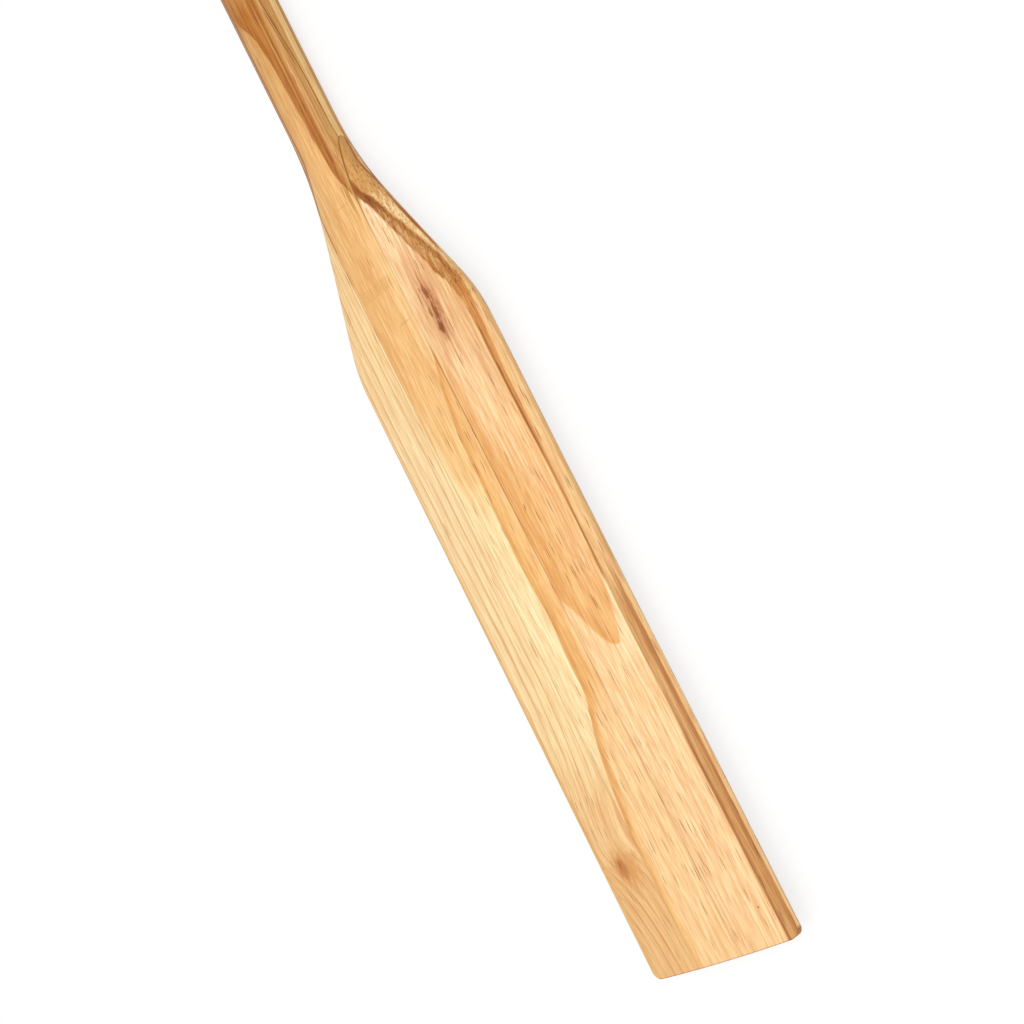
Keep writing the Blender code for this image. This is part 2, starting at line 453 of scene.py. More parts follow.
    def build(self, name: str, board: Board) -> bpy.types.Object:
        """Make the board's mesh object.

        Args:
            name: Name of the new object.
            board: Which board to make.

        Returns:
            The object, linked to the scene and shaded smooth between its sharp corners.
        """
        bm = bmesh.new()
        across_layer = bm.verts.layers.float.new(ACROSS_LAYER)
        glue_layer = bm.verts.layers.float.new(GLUE_LAYER)
        rings = []
        for ring in self.rings(board):
            verts = []
            for place, across, from_glue in ring:
                vert = bm.verts.new(place)
                vert[across_layer] = across
                vert[glue_layer] = from_glue
                verts.append(vert)
            rings.append(verts)
        for near, far in zip(rings, rings[1:]):
            for k, vert in enumerate(near):
                bm.faces.new((near[k - 1], vert, far[k], far[k - 1]))
        if board is Board.STAVE:
            self.close_stave(bm, rings[0])
            self.close_stave(bm, rings[-1])
        else:
            bm.faces.new(rings[0])
            self.close_wing(bm, rings[-1])
        bmesh.ops.remove_doubles(bm, verts=bm.verts, dist=self.merge)
        bmesh.ops.dissolve_degenerate(bm, edges=bm.edges, dist=self.merge / 4)
        bmesh.ops.recalc_face_normals(bm, faces=bm.faces)
        mesh = bpy.data.meshes.new(name)
        bm.to_mesh(mesh)
        bm.free()
        mesh.shade_smooth()
        mesh.set_sharp_from_angle(angle=math.radians(self.sharp_angle))
        return linked(name, mesh)

    def close_stave(self, bm: bmesh.types.BMesh, ring: list[bmesh.types.BMVert]) -> None:
        """Close an end of the stave with upright strips, from its left side to its right side."""
        side = len(ring) // 4
        for k in range(-side, side):
            lower = 2 * side - k
            corners = dict.fromkeys((ring[k], ring[k + 1], ring[lower - 1], ring[lower]))
            bm.faces.new(tuple(corners))

    def close_wing(self, bm: bmesh.types.BMesh, ring: list[bmesh.types.BMVert]) -> None:
        """Close the tip end of a wing with upright strips, out to its narrow edge."""
        count = len(ring)
        middle = count // 2
        for k in range(middle - 2):
            bm.faces.new((ring[k], ring[k + 1], ring[count - 2 - k], ring[count - 1 - k]))
        bm.faces.new(ring[middle - 2:middle + 3])


@dataclass(frozen=True)
class Place:
    """Where a shaded point lies on its board, as shader sockets in metres."""

    along: Socket
    across: Socket
    depth: Socket


@dataclass(frozen=True)
class Waves:
    """A soft noise: waves a metre along the board and across it, detail and roughness."""

    along: float
    across: float
    detail: float = 2.0
    rough: float = 0.5


RING_WAVER = Waves(2.6, 26.0, 1.5)
RING_RIPPLE = Waves(16.0, 90.0, rough=0.6)
RING_SWELL = Waves(9.0, 110.0)
FINE_FIBRES = Waves(34.0, 620.0, 3.5, 0.70)
BROAD_FIBRES = Waves(8.0, 260.0, 4.0, 0.66)
CANAL_CELLS = Waves(38.0, 1000.0)
CANAL_AREAS = Waves(7.0, 55.0, 1.0)
EDGE_FRAY = Waves(9.0, 260.0, 2.5, 0.6)
END_COMB = Waves(7.0, 420.0, rough=0.6)
BARE_STREAKS = Waves(5.0, 560.0, 3.0, 0.65)
SPOT_FRAY = Waves(90.0, 420.0, 3.0, 0.65)
TONE_DRIFT = Waves(5.0, 90.0)
SHEEN = Waves(9.0, 60.0)


class Graph:
    """Places and links shader nodes in one node tree, in plain steps."""

    place: Place

    def __init__(self, tree: bpy.types.NodeTree) -> None:
        """Work in the given tree."""
        self.tree = tree

    def node(self, kind: str, **settings: object) -> bpy.types.Node:
        """Add a shader node of the given kind and set its properties."""
        count = len(self.tree.nodes)
        node = self.tree.nodes.new("ShaderNode" + kind)
        node.location = (180 * count, -120 * (count % 7))
        for name, value in settings.items():
            setattr(node, name, value)
        return node

    def feed(self, socket: Socket, value: object) -> None:
        """Link a socket to the input, or set the input to a plain value."""
        if isinstance(value, Socket):
            self.tree.links.new(value, socket)
        else:
            socket.default_value = value

    def math(self, operation: str, *values: object) -> Socket:
        """Work out one sum, product or the like of the values."""
        node = self.node("Math", operation=operation)
        for socket, value in zip(node.inputs, values):
            self.feed(socket, value)
        return node.outputs[0]

    def plus(self, a: object, b: object) -> Socket:
        """Sum of two values."""
        return self.math("ADD", a, b)

    def less(self, a: object, b: object) -> Socket:
        """First value less the second one."""
        return self.math("SUBTRACT", a, b)

    def times(self, a: object, b: object, more: object = 0.0) -> Socket:
        """Product of two values, with more added to it."""
        return self.math("MULTIPLY_ADD", a, b, more)

    def share(self, value: object, low: object, high: object, kind: str = "LINEAR") -> Socket:
        """Go from 0 at low to 1 at high."""
        node = self.node("MapRange", interpolation_type=kind)
        for name, given in (("Value", value), ("From Min", low), ("From Max", high)):
            self.feed(node.inputs[name], given)
        return node.outputs["Result"]

    def step(self, value: object, low: object, high: object) -> Socket:
        """Rise softly from 0 at low to 1 at high."""
        return self.share(value, low, high, "SMOOTHSTEP")

    def within(self, value: object, ends: Point) -> Socket:
        """Rise softly from 0 to 1 between two lengths in millimetres."""
        return self.step(value, ends[0] * MM, ends[1] * MM)

    def blend(self, share: object, a: object, b: object, mode: str = "MIX") -> Socket:
        """Mix colour b over colour a by the share."""
        node = self.node("Mix", data_type="RGBA", blend_type=mode)
        for index, given in ((0, share), (6, a), (7, b)):
            self.feed(node.inputs[index], given)
        return node.outputs[2]

    def shade(self, colour: object, share: object, strength: float) -> Socket:
        """Make the colour lighter where share is 0 and darker where it is 1, blue most of all."""
        light, dark = (
            tuple(1 + sign * strength * part for part in SHADE_PARTS) + (1.0,) for sign in (1, -1)
        )
        return self.blend(1.0, colour, self.blend(share, light, dark), "MULTIPLY")

    def layer(self, name: str) -> Socket:
        """Value that the mesh keeps in its layer of the given name."""
        node = self.node("Attribute", attribute_type="GEOMETRY", attribute_name=name)
        return node.outputs["Fac"]

    def stretched(self, waves: Waves) -> Socket:
        """Vector of the place on the board, scaled by the waves a metre each way."""
        node = self.node("CombineXYZ")
        parts = (self.place.along, self.place.across, self.place.depth)
        for socket, part, scale in zip(node.inputs, parts, (waves.along,) + (waves.across,) * 2):
            self.feed(socket, self.times(part, scale))
        return node.outputs[0]

    def noise(self, waves: Waves) -> Socket:
        """Soft noise between 0 and 1 at the place on the board."""
        node = self.node("TexNoise", noise_dimensions="3D")
        given = (("Vector", self.stretched(waves)), ("Scale", 1.0), ("Detail", waves.detail))
        for name, value in given + (("Roughness", waves.rough),):
            self.feed(node.inputs[name], value)
        return node.outputs[0]

    def sway(self, waves: Waves) -> Socket:
        """The soft noise to both sides of 0."""
        return self.less(self.noise(waves), 0.5)

    def line(self, points: float | Curve) -> object:
        """Length across of a line drawn over the board, at the place along it.

        Args:
            points: One length across, or the places along and lengths across that the line
                passes. In millimetres.

        Returns:
            The line's length across at the place, in metres.
        """
        if not isinstance(points, tuple):
            return points * MM
        first, last = points[0][0], points[-1][0]
        node = self.node("FloatCurve")
        curve = node.mapping.curves[0]
        spots = [((x - first) / (last - first), (s / ACROSS_REACH + 1) / 2) for x, s in points]
        curve.points[0].location, curve.points[1].location = spots[0], spots[-1]
        for spot in spots[1:-1]:
            curve.points.new(*spot)
        node.mapping.update()
        self.feed(node.inputs["Value"], self.share(self.place.along, first * MM, last * MM))
        return self.times(node.outputs[0], 2 * ACROSS_REACH * MM, -ACROSS_REACH * MM)

    def group(self, tree: bpy.types.NodeTree, place: Place, **values: object) -> bpy.types.Node:
        """Place an effect group at the given place with its own values."""
        node = self.node("Group", node_tree=tree)
        for name, value in zip(PLACE_INPUTS, (place.along, place.across, place.depth)):
            self.feed(node.inputs[name], value)
        for name, value in values.items():
            self.feed(node.inputs[name.capitalize()], value)
        return node


class Effect(Graph):
    """A shader node group that several finishes place with their own values."""

    def __init__(self, name: str, inputs: tuple[str, ...], outputs: tuple[str, ...]) -> None:
        """Make the group with the place and the given names as its inputs."""
        super().__init__(bpy.data.node_groups.new(name, "ShaderNodeTree"))
        for way, names in (("INPUT", PLACE_INPUTS + inputs), ("OUTPUT", outputs)):
            for socket in names:
                self.tree.interface.new_socket(socket, in_out=way, socket_type="NodeSocketFloat")
        self.given = self.tree.nodes.new("NodeGroupInput").outputs
        self.leave = self.tree.nodes.new("NodeGroupOutput").inputs
        self.place = Place(*(self.given[socket] for socket in PLACE_INPUTS))

    def put(self, **values: Socket) -> bpy.types.NodeTree:
        """Link the values to the outputs of these names and give the finished group."""
        for name, value in values.items():
            self.feed(self.leave[name], value)
        return self.tree


class WoodEffects:
    """The effects that make up the figure of the wood, each built once as a node group."""

    def __init__(self) -> None:
        """Build all the groups."""
        self.rings = self.ring_lines()
        self.fibre = self.fibre_grain()
        self.canals = self.resin_canals()
        self.zone = self.soft_zone()
        self.spot = self.soft_spot()

    def ring_lines(self) -> bpy.types.NodeTree:
        """Edges of the growth rings: a soft rise, then a sharp fall, wavering along the board."""
        effect = Effect("ring_lines", ("Spacing", "Offset", "Waver"), ("Lines", "Band"))
        shift = effect.times(effect.sway(RING_WAVER), effect.given["Waver"])
        shift = effect.times(effect.sway(RING_RIPPLE), RIPPLE_WIDTH, shift)
        across = effect.plus(effect.plus(effect.place.across, shift), effect.given["Offset"])
        count = effect.math("DIVIDE", across, effect.given["Spacing"])
        share = effect.math("FRACT", count)
        rise = effect.step(share, *RING_RISE)
        which = effect.node("TexWhiteNoise", noise_dimensions="1D")
        effect.feed(which.inputs["W"], effect.math("FLOOR", count))
        weight = effect.times(which.outputs["Value"], *RING_WEIGHT)
        swell = effect.step(effect.noise(RING_SWELL), *SWELL_STEP)
        lines = effect.times(effect.times(rise, rise), effect.step(share, *RING_FALL))
        lines = effect.times(effect.times(lines, effect.times(swell, *SWELL_SHARE)), weight)
        return effect.put(Lines=lines, Band=effect.times(share, weight))

    def fibre_grain(self) -> bpy.types.NodeTree:
        """Fine fibres along the board, in two widths, as a tone and as a height."""
        effect = Effect("fibre_grain", (), ("Tone", "Streaks", "Height"))
        fine = effect.noise(FINE_FIBRES)
        streaks = effect.step(effect.noise(BROAD_FIBRES), *STREAK_STEP)
        return effect.put(Tone=effect.step(fine, *FINE_STEP), Streaks=streaks, Height=fine)

    def resin_canals(self) -> bpy.types.NodeTree:
        """Short dark dashes where resin canals are cut along, thinned out by a slow noise."""
        effect = Effect("resin_canals", ("Cover",), ("Dashes",))
        cells = effect.node("TexVoronoi", feature="F1", voronoi_dimensions="3D")
        effect.feed(cells.inputs["Vector"], effect.stretched(CANAL_CELLS))
        effect.feed(cells.inputs["Scale"], 1.0)
        dash = effect.step(cells.outputs["Distance"], *DASH_STEP)
        pick = effect.node("SeparateColor")
        effect.feed(pick.inputs[0], cells.outputs["Color"])
        chance = effect.times(effect.noise(CANAL_AREAS), CANAL_CHANCE, effect.given["Cover"])
        kept = effect.step(effect.plus(chance, pick.outputs[0]), *CANAL_KEPT)
        return effect.put(Dashes=effect.times(dash, kept))

    def soft_zone(self) -> bpy.types.NodeTree:
        """Mask of the wood between two lines drawn along the board, with frayed edges."""
        inputs = ("Lower", "Upper", "Soft", "Spread", "Fray", "Start", "End", "Rise", "Fall")
        effect = Effect("soft_zone", inputs + ("Patch",), ("Mask",))
        lower, upper, soft, spread, fray, start, end, rise, fall = map(effect.given.get, inputs)
        comb = effect.times(effect.sway(END_COMB), COMB_REACH)
        across = effect.times(effect.sway(EDGE_FRAY), fray, effect.place.across)
        early = effect.times(comb, rise, effect.place.along)
        late = effect.times(comb, fall, effect.place.along)
        masks = (
            effect.step(across, effect.less(lower, soft), effect.plus(lower, soft)),
            effect.step(across, effect.plus(upper, spread), effect.less(upper, spread)),
            effect.step(early, effect.less(start, rise), start),
            effect.step(late, effect.plus(end, fall), end),
        )
        streaks = effect.step(effect.noise(BARE_STREAKS), *BARE_STEP)
        mask = effect.less(1.0, effect.times(streaks, effect.given["Patch"]))
        for part in masks:
            mask = effect.times(mask, part)
        return effect.put(Mask=mask)

    def soft_spot(self) -> bpy.types.NodeTree:
        """Mask of a long soft spot on the upper face, full at its middle."""
        inputs = ("Middle", "Side", "Length", "Width", "Ragged")
        effect = Effect("soft_spot", inputs, ("Mask",))
        middle, side, length, width, ragged = map(effect.given.get, inputs)
        along = effect.math("DIVIDE", effect.less(effect.place.along, middle), length)
        across = effect.math("DIVIDE", effect.less(effect.place.across, side), width)
        far = effect.math("SQRT", effect.times(along, along, effect.times(across, across)))
        far = effect.times(effect.sway(SPOT_FRAY), ragged, far)
        above = effect.step(effect.place.depth, *UPPER_FACE)
        return effect.put(Mask=effect.times(effect.step(far, *SPOT_STEP), above))


@dataclass(frozen=True)
class Zone:
    """A stretch of wood of another tone, or of painted shade, between two lines drawn along the
    board.

    Measures are in millimetres. A line is either one length across or the points that it passes.
    The edges are how soft the lower and the upper one are and how far they fray, the ends are the
    lengths of the rise and the fall, and patch is how far streaks of bare wood break the zone up.
    """

    tone: Tone
    lower: float | Curve
    upper: float | Curve
    span: Point
    edges: tuple[float, float, float] = (0.8, 0.8, 3.0)
    ends: Point = (12.0, 12.0)
    strength: float = 1.0
    patch: float = 0.0

    def mask(self, graph: Graph, effects: WoodEffects) -> Socket:
        """How much of the zone's tone shows at the place."""
        names = ("soft", "spread", "fray", "start", "end", "rise", "fall")
        values = {n: v * MM for n, v in zip(names, self.edges + self.span + self.ends)}
        values |= {"lower": graph.line(self.lower), "upper": graph.line(self.upper)}
        node = graph.group(effects.zone, graph.place, patch=self.patch, **values)
        return graph.times(node.outputs["Mask"], self.strength)


@dataclass(frozen=True)
class Spot:
    """A soft spot of another tone on the board's face: its middle, half length and half width."""

    tone: Tone
    middle: Point
    half: Point
    strength: float = 0.8
    ragged: float = 1.6

    def mask(self, graph: Graph, effects: WoodEffects) -> Socket:
        """How much of the spot's tone shows at the place."""
        names = ("middle", "side", "length", "width")
        values = {n: v * MM for n, v in zip(names, self.middle + self.half)}
        node = graph.group(effects.spot, graph.place, ragged=self.ragged, **values)
        return graph.times(node.outputs["Mask"], self.strength)


@dataclass(frozen=True)
class PineFinish:
    """Clear-varnished pine of one board, with its own figure drawn in zones and spots, and on the
    stave two zones of painted shade.

    Lengths are in millimetres.
    """

    name: str
    tones: tuple[tuple[float, Tone], ...]
    line_tone: Tone
    zones: tuple[Zone, ...]
    canal_zones: tuple[Zone, ...] = ()
    spots: tuple[Spot, ...] = ()
    ring_spacing: float = 10.5
    ring_offset: float = 300.0
    ring_waver: float = 6.0
    ring_strength: float = 0.35
    band_strength: float = 0.08
    fine_strength: float = 0.26
    streak_strength: float = 0.14
    canal_cover: float = 0.01
    canal_tone: Tone = (136, 84, 46)
    fine_rings: Zone | None = None
    fine_spacing: float = 2.3
    fine_waver: float = 8.0
    knot: Curve | None = None
    knot_side: Point = (-5.0, -45.0)
    glue_tone: Tone = (152, 96, 48)
    glue_strength: float = 0.30
    glue_width: Point = (0.9, 0.3)
    neck_glue: Point = (470.0, 410.0)
    neck_glue_strength: float = 0.6
    end_grain: Point = (1065.8, 1066.6)
    end_strength: float = 0.55
    gloss: Point = (0.12, 0.36)
    bare_grip: Point = (-925.0, -945.0)
    bare_roughness: float = 0.25
    relief_strength: float = 0.25
    relief_depth: float = 0.25
    varnish_ior: float = 1.4
    specular: float = 0.4
    grazing_specular: float = -0.36
    grazing: Point = (0.52, 0.90)

    def read_place(self, graph: Graph) -> Place:
        """Read where the shaded point lies: along the oar, across the surface and its height."""
        parts = graph.node("SeparateXYZ")
        graph.feed(parts.inputs[0], graph.node("TexCoord").outputs["Object"])
        return Place(parts.outputs["X"], graph.layer(ACROSS_LAYER), parts.outputs["Z"])

    def warped(self, graph: Graph) -> Place:
        """Bend the grain round the knot near the blade tip, where the board has one."""
        place = graph.place
        if self.knot is None:
            return place
        near = graph.within(place.across, self.knot_side)
        push = graph.times(graph.line(self.knot), near)
        above = graph.step(place.depth, *UPPER_FACE)
        return Place(place.along, graph.times(push, above, place.across), place.depth)

    def base(self, graph: Graph) -> Socket:
        """Tone of the board along its length, wavering slowly."""
        along = graph.times(graph.sway(TONE_DRIFT), DRIFT_REACH, graph.place.along)
        first, last = self.tones[0][0], self.tones[-1][0]
        ramp = graph.node("ValToRGB")
        stops = ramp.color_ramp.elements
        stops[0].color = wood(self.tones[0][1])
        stops[1].color = wood(self.tones[-1][1])
        for x, tone in self.tones[1:-1]:
            stops.new((x - first) / (last - first)).color = wood(tone)
        graph.feed(ramp.inputs[0], graph.share(along, first * MM, last * MM))
        return ramp.outputs["Color"]

    def ringed(self, graph: Graph, effects: WoodEffects, grain: Place, colour: Socket) -> Socket:
        """The colour with the edges of the growth rings, wide and fine ones."""
        rings = graph.group(
            effects.rings, grain, spacing=self.ring_spacing * MM,
            offset=self.ring_offset * MM, waver=self.ring_waver * MM,
        )
        for output, strength in (("Band", self.band_strength), ("Lines", self.ring_strength)):
            share = graph.times(rings.outputs[output], strength)
            colour = graph.blend(share, colour, wood(self.line_tone), "MULTIPLY")
        if self.fine_rings is None:
            return colour
        fine = graph.group(
            effects.rings, grain, spacing=self.fine_spacing * MM, waver=self.fine_waver * MM
        )
        share = graph.times(fine.outputs["Lines"], self.fine_rings.mask(graph, effects))
        return graph.blend(share, colour, wood(self.fine_rings.tone), "MULTIPLY")

    def figure(self, graph: Graph, effects: WoodEffects) -> Socket:
        """Colour of the wood: base tone, zones, rings, fibres, canals, spots and the glue line; two
        of the stave's zones are painted shade.
        """
        colour = self.base(graph)
        for zone in self.zones:
            colour = graph.blend(zone.mask(graph, effects), colour, wood(zone.tone))
        grain = self.warped(graph)
        colour = self.ringed(graph, effects, grain, colour)
        fibre = graph.group(effects.fibre, grain)
        colour = graph.shade(colour, fibre.outputs["Streaks"], self.streak_strength)
        colour = graph.shade(colour, fibre.outputs["Tone"], self.fine_strength)
        cover: object = self.canal_cover
        for zone in self.canal_zones:
            cover = graph.plus(cover, zone.mask(graph, effects))
        canals = graph.group(effects.canals, grain, cover=cover)
        share = graph.times(canals.outputs["Dashes"], CANAL_STRENGTH)
        colour = graph.blend(share, colour, wood(self.canal_tone), "MULTIPLY")
        for spot in self.spots:
            colour = graph.blend(spot.mask(graph, effects), colour, wood(spot.tone))
        neck = graph.within(graph.place.along, self.neck_glue)
        seam = graph.times(
            graph.within(graph.layer(GLUE_LAYER), self.glue_width),
            graph.times(neck, self.neck_glue_strength, self.glue_strength),
        )
        colour = graph.blend(seam, colour, wood(self.glue_tone))
        end = graph.times(graph.within(graph.place.along, self.end_grain), self.end_strength)
        return graph.blend(end, colour, wood(self.glue_tone), "MULTIPLY")

    def material(self, effects: WoodEffects) -> bpy.types.Material:
        """Make the material.

        Args:
            effects: The shared node groups of the wood's figure.

        Returns:
            A varnished wood with its figure, its fibre relief and its gloss.
        """
        material = bpy.data.materials.new(self.name)
        material.use_nodes = True
        graph = Graph(material.node_tree)
        graph.place = self.read_place(graph)
        shader = material.node_tree.nodes["Principled BSDF"].inputs
        graph.feed(shader["Base Color"], self.figure(graph, effects))
        gloss = graph.times(graph.noise(SHEEN), *self.gloss)
        bare = graph.within(graph.place.along, self.bare_grip)
        graph.feed(shader["Roughness"], graph.times(bare, self.bare_roughness, gloss))
        fibre = graph.group(effects.fibre, self.warped(graph))
        relief = graph.node("Bump")
        relief.inputs["Strength"].default_value = self.relief_strength
        relief.inputs["Distance"].default_value = self.relief_depth * MM
        graph.feed(relief.inputs["Height"], fibre.outputs["Height"])
        graph.feed(shader["Normal"], relief.outputs[0])
        shader["IOR"].default_value = self.varnish_ior
        grazing = graph.step(graph.node("LayerWeight").outputs["Facing"], *self.grazing)
        specular = graph.times(grazing, self.grazing_specular, self.specular)
        graph.feed(shader["Specular IOR Level"], specular)
        return material


def beside(line: Curve, shift: float) -> Curve:
    """The same line, moved across the board."""
    return tuple((x, across + shift) for x, across in line)


def strip(line: Curve, low: float, high: float) -> tuple[Curve, Curve]:
    """Both edges of a strip that runs beside the line."""
    return beside(line, low), beside(line, high)


LIGHT_EDGE: Curve = (
    (246, -6), (257.5, -1.8), (265, 2.5), (280, 6), (300, 8.4), (325, 9.6), (350, 10.5),
    (375, 11.6), (400, 14), (417, 19), (432, 22.5),
)
LEFT_EDGE: Curve = (
    (200, -5), (350, -5), (375, -5), (387.5, -8.8), (400, -13.8), (415, -18.8), (432.5, -21.3),
    (445, -22.5),
)
DARK_LINE: Curve = ((245, 21.6), (270, 23.8), (295, 26.3), (320, 28), (350, 29.1), (378, 30.2))
TAN_EDGE: Curve = (
    (555, 22.5), (567, 20.5), (580, 16.3), (595, 12), (615, 8.8), (640, 6.3), (670, 5.5),
    (690, 4.5), (715, 3.5), (755, 4), (780, 5), (810, 3), (835, 2), (850, 0.5), (860, -2.5),
    (870, -6.3), (880, -9.5), (890, -12), (905, -15.5), (920, -18), (940, -20.5), (960, -23.2),
)
INNER_CREASE: Curve = (
    (408, 22.5), (425, 23.8), (436, 29.5), (450, 34.5), (462.5, 38.6), (475, 43.6), (487.5, 48.6),
    (500, 53.2), (512.5, 57.5), (525, 62.8), (537.5, 66.6), (550, 67.6), (600, 67.6), (700, 67),
    (780, 66.8),
)
OUTER_CREASE: Curve = (
    (408, 23), (422.5, 28.5), (436, 36.2), (450, 42.8), (462.5, 48.8), (475, 55), (487.5, 61),
    (500, 66), (512.5, 70.2), (525, 73.5), (540, 75), (552, 74.5), (575, 73.5), (600, 72.4),
    (663, 71.2), (747, 69.5), (780, 68.5),
)
OUTER_STRIP: Curve = (
    (367.5, 36.6), (382.5, 36), (395, 35.6), (405, 37.8), (412.5, 40.8), (425, 44.8), (437.5, 47.8),
    (450, 51), (462.5, 54.8), (475, 59.3), (487.5, 64.2), (500, 69), (520, 75),
)
TONGUE_LOW: Curve = (
    (590, 21.5), (762, 21.5), (772.5, 22.8), (780, 26.3), (792.5, 32.5), (805, 37.5), (815, 42.8),
    (820.5, 48), (822.5, 52.5),
)
TONGUE_HIGH: Curve = (
    (590, 66.8), (765, 66.8), (780, 65.6), (792.5, 63), (805, 59.8), (815, 56.8), (820.5, 54.6),
    (822.5, 52.5),
)
BLEMISH_LOW: Curve = ((520, 42.5), (530, 45), (537, 46.2), (543, 44), (549, 41))
BLEMISH_HIGH: Curve = ((524, 39.8), (533, 37.2), (540, 37.6), (547, 40.2), (557, 40.6))
KNOT_PUSH: Curve = (
    (780, 0), (860, 3), (900, 8.5), (930, 15), (950, 17.2), (964, 15.5), (978, 8.5), (992, 0),
    (1020, -9), (1067, -16),
)
STREAK_END: Curve = ((246, 18.8), (360, 19.2), (390, 20.5), (410, 22), (445, 23.2))

STAVE_PINE = PineFinish(
    name="stave_pine",
    tones=(
        (-1067, (220, 168, 108)), (-600, (234, 186, 122)), (-200, (224, 172, 110)),
        (220, (202, 146, 86)), (300, (222, 170, 108)), (400, (238, 186, 122)),
        (460, (240, 186, 120)), (580, (246, 193, 127)), (660, (254, 220, 163)),
        (780, (255, 228, 174)), (1067, (250, 210, 150)),
    ),
    line_tone=(214, 150, 86),
    zones=(
        Zone((190, 130, 70), -8, 19, (-1100, 250), (3, 3, 6), strength=0.9, patch=0.55),
        Zone(
            (180, 114, 50), LIGHT_EDGE, STREAK_END, (250, 440), (0.5, 1.8, 1.4), (20, 6), patch=0.3,
        ),
        Zone(
            (166, 100, 42), *strip(LIGHT_EDGE, 0, 5.2), (275, 434), (0.5, 2.4, 2), (20, 8), 0.8,
            0.55,
        ),
        Zone((150, 90, 38), 12.5, 18.5, (200, 420), (1.5, 0.8, 3), (12, 30), 0.45, 0.95),
        Zone((214, 164, 102), 20, 29.5, (-1100, 420), (2, 1, 4), strength=0.85, patch=0.25),
        Zone((184, 124, 66), 20, 30, (-1100, 400), (1, 1, 3), strength=0.55, patch=1.0),
        Zone((248, 206, 140), 30.5, 37.5, (-1100, 420), (0.8, 0.8, 2), strength=0.95),
        Zone((140, 86, 38), *strip(DARK_LINE, 0, 1.1), (-300, 385), (0.4, 0.4, 1), strength=0.85),
        Zone((140, 86, 38), *strip(DARK_LINE, -2, -1.1), (262, 295), (0.3, 0.3, 1), strength=0.7),
        Zone((206, 138, 66), 37.8, 39.6, (50, 400), (0.5, 0.5, 1)),
        Zone((216, 150, 80), -90, LEFT_EDGE, (-1100, 447), (0, 1, 2), (12, 4)),
        # Painted shade: these two darker strips run along the loom's left outline, where the round
        # side turns away from the light.
        Zone((160, 96, 42), *strip(LEFT_EDGE, -15, -7), (-1100, 440), (1.5, 1, 1), strength=0.75),
        Zone(
            (166, 100, 42), *strip(LEFT_EDGE, -5.6, -2.4), (-1100, 440), (0.8, 0.8, 1),
            strength=0.85,
        ),
        Zone((196, 122, 56), -23.8, -20.5, (428, 449), (0.8, 0.8, 2), (6, 2), 0.7),
        Zone((250, 205, 145), 10, 23, (462, 560), (4, 0.8, 4), (30, 20), 0.8),
        Zone((230, 172, 104), -16, 20, (490, 499), (4, 4, 2), (0.8, 0.8), 0.35),
        Zone((222, 162, 96), 0, 13, (424, 425.4), (3, 3, 2), (0.4, 0.4), 0.45),
        Zone((222, 162, 96), 4, 16, (528.4, 529.6), (3, 3, 2), (0.4, 0.4), 0.45),
        Zone((248, 197, 131), -18, 6, (570, 655), (4, 4, 10), (40, 40), 0.8),
        Zone((243, 187, 119), TAN_EDGE, 50, (556, 1100), (0.6, 0.8, 2), (4, 12)),
        Zone((229, 164, 94), *strip(TAN_EDGE, 0, 4.2), (556, 970), (0.6, 3, 3), strength=0.8),
        Zone((250, 198, 134), 16.5, 22.2, (610, 860), (2, 0.8, 2), (20, 20), 0.8),
        Zone((250, 207, 150), beside(TAN_EDGE, 7), 50, (862, 1100), (4, 0.8, 6), (20, 12), 0.9),
    ),
    canal_zones=(
        Zone(NO_TONE, -20, 12, (860, 990), (6, 6, 3), strength=0.26),
        Zone(NO_TONE, 8, 22, (620, 860), (3, 3, 3), strength=0.16),
        Zone(NO_TONE, 10, 21, (200, 420), (3, 3, 3), strength=0.16),
        Zone(NO_TONE, 17.5, 24, (900, 1010), (2, 0.8, 3), strength=0.3),
    ),
    ring_spacing=12.5, ring_strength=0.14,
)
LEFT_PINE = PineFinish(
    name="left_pine",
    tones=(
        (360, (250, 210, 150)), (500, (253, 216, 158)), (660, (255, 224, 170)),
        (850, (255, 223, 166)), (940, (250, 211, 152)), (1067, (245, 200, 138)),
    ),
    line_tone=(220, 150, 78),
    zones=(
        Zone((248, 194, 112), -90, -66.5, (450, 1100), (0.8, 3, 5), strength=0.95),
        Zone((244, 198, 138), -64, -20, (925, 1100), (8, 4, 10), (40, 12), 0.8),
        Zone((238, 188, 126), -70, -20, (985, 1100), (4, 4, 10), (20, 12), 0.7),
    ),
    spots=(
        Spot((222, 156, 90), (978, -43.5), (24, 19.5), strength=0.9),
        Spot((192, 120, 60), (977, -47.5), (13, 8), strength=0.75),
        Spot((158, 92, 44), (973, -49), (7, 2.2), strength=0.6),
        Spot((208, 142, 80), (797, -24.8), (15, 1.8), strength=0.6),
    ),
    fine_rings=Zone((206, 140, 76), -75, -24, (360, 950), (4, 0.8, 3), (10, 100), 0.6, 0.5),
    ring_spacing=9.6, ring_offset=302.8, ring_waver=4.5, ring_strength=0.85, band_strength=0.15,
    fine_strength=0.19, streak_strength=0.12, canal_cover=0.0, knot=KNOT_PUSH, glue_strength=0.22,
)
